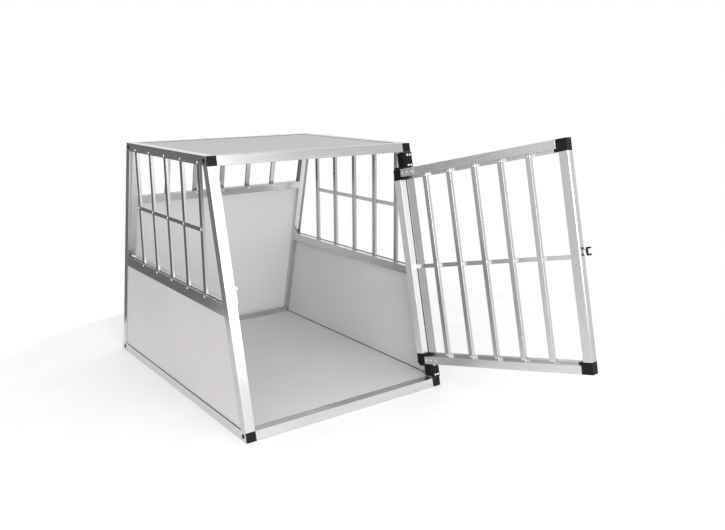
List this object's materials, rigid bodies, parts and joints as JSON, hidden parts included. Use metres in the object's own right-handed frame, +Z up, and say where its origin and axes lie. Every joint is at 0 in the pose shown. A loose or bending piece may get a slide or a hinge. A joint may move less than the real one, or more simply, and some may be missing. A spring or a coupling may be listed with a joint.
{
  "type": "aluminium dog transport box",
  "caption": "Leaning-ended aluminium dog transport box with grey boards, barred windows and a barred hinged door with a turn lock.",
  "frame": {"origin": "middle of the underside of the front sill, on the floor", "axes": "+Z up, +X to the hinge side seen from the door end, -Y out through the doorway"},
  "size_m": [0.7034, 1.4318, 0.7566],
  "materials": {
    "anodised_aluminium": "matt silver anodised extrusion",
    "board_grey": "silver-grey laminated fibreboard, satin",
    "black_plastic": "moulded, fine grain",
    "rivet_steel": "bright",
    "bright_zinc": "satin zinc"
  },
  "bodies": {
    "crate": {"back_board": "board_grey", "back_header": "anodised_aluminium", "back_mid_rail": "anodised_aluminium", "back_post_left": "anodised_aluminium", "back_post_right": "anodised_aluminium", "back_sill": "anodised_aluminium", "back_window_bar_1": "anodised_aluminium", "back_window_bar_2": "anodised_aluminium", "back_window_bar_3": "anodised_aluminium", "back_window_bar_4": "anodised_aluminium", "back_window_bar_5": "anodised_aluminium", "bottom_rail_left": "anodised_aluminium", "bottom_rail_right": "anodised_aluminium", "bracket_screws": "rivet_steel", "floor_board": "board_grey", "frame_rivets": "rivet_steel", "front_header": "anodised_aluminium", "front_post_left": "anodised_aluminium", "front_post_right": "anodised_aluminium", "front_sill": "anodised_aluminium", "hinge_brackets": "black_plastic", "hinge_pins": "rivet_steel", "left_board": "board_grey", "left_window_bar_1": "anodised_aluminium", "left_window_bar_2": "anodised_aluminium", "left_window_bar_3": "anodised_aluminium", "left_window_bar_4": "anodised_aluminium", "left_window_bar_5": "anodised_aluminium", "left_window_crossbar": "anodised_aluminium", "mid_rail_left": "anodised_aluminium", "mid_rail_right": "anodised_aluminium", "rail_end_caps": "black_plastic", "rail_plugs": "black_plastic", "right_board": "board_grey", "right_window_bar_1": "anodised_aluminium", "right_window_bar_2": "anodised_aluminium", "right_window_bar_3": "anodised_aluminium", "right_window_bar_4": "anodised_aluminium", "right_window_bar_5": "anodised_aluminium", "right_window_crossbar": "anodised_aluminium", "roof_board": "board_grey", "strike_plate": "bright_zinc", "top_rail_left": "anodised_aluminium", "top_rail_right": "anodised_aluminium"},
    "door": {"door_bar_1": "anodised_aluminium", "door_bar_2": "anodised_aluminium", "door_bar_3": "anodised_aluminium", "door_bar_4": "anodised_aluminium", "door_bar_5": "anodised_aluminium", "door_corners": "black_plastic", "door_crossbar": "anodised_aluminium", "door_rail_bottom": "anodised_aluminium", "door_rail_top": "anodised_aluminium", "door_rivets": "rivet_steel", "door_stile_hinge": "anodised_aluminium", "door_stile_lock": "anodised_aluminium", "hinge_plates": "anodised_aluminium", "lock_plate": "bright_zinc"},
    "lock": {"lock_knob": "bright_zinc", "latch_fork": "black_plastic"}
  },
  "joints": [
    {"name": "door_hinge", "type": "hinge", "parent": "crate", "child": "door", "pos_m": [0.28, -0.00576, -0.00236], "axis": [0, 0.2146, 0.9767], "range_deg": [-97, 13]},
    {"name": "lock_turn", "type": "hinge", "parent": "door", "child": "lock", "pos_m": [0.36374, -0.46876, 0.48331], "axis": [-0.9925, -0.119, 0.0262], "range_deg": [-90, 12]}
  ]
}
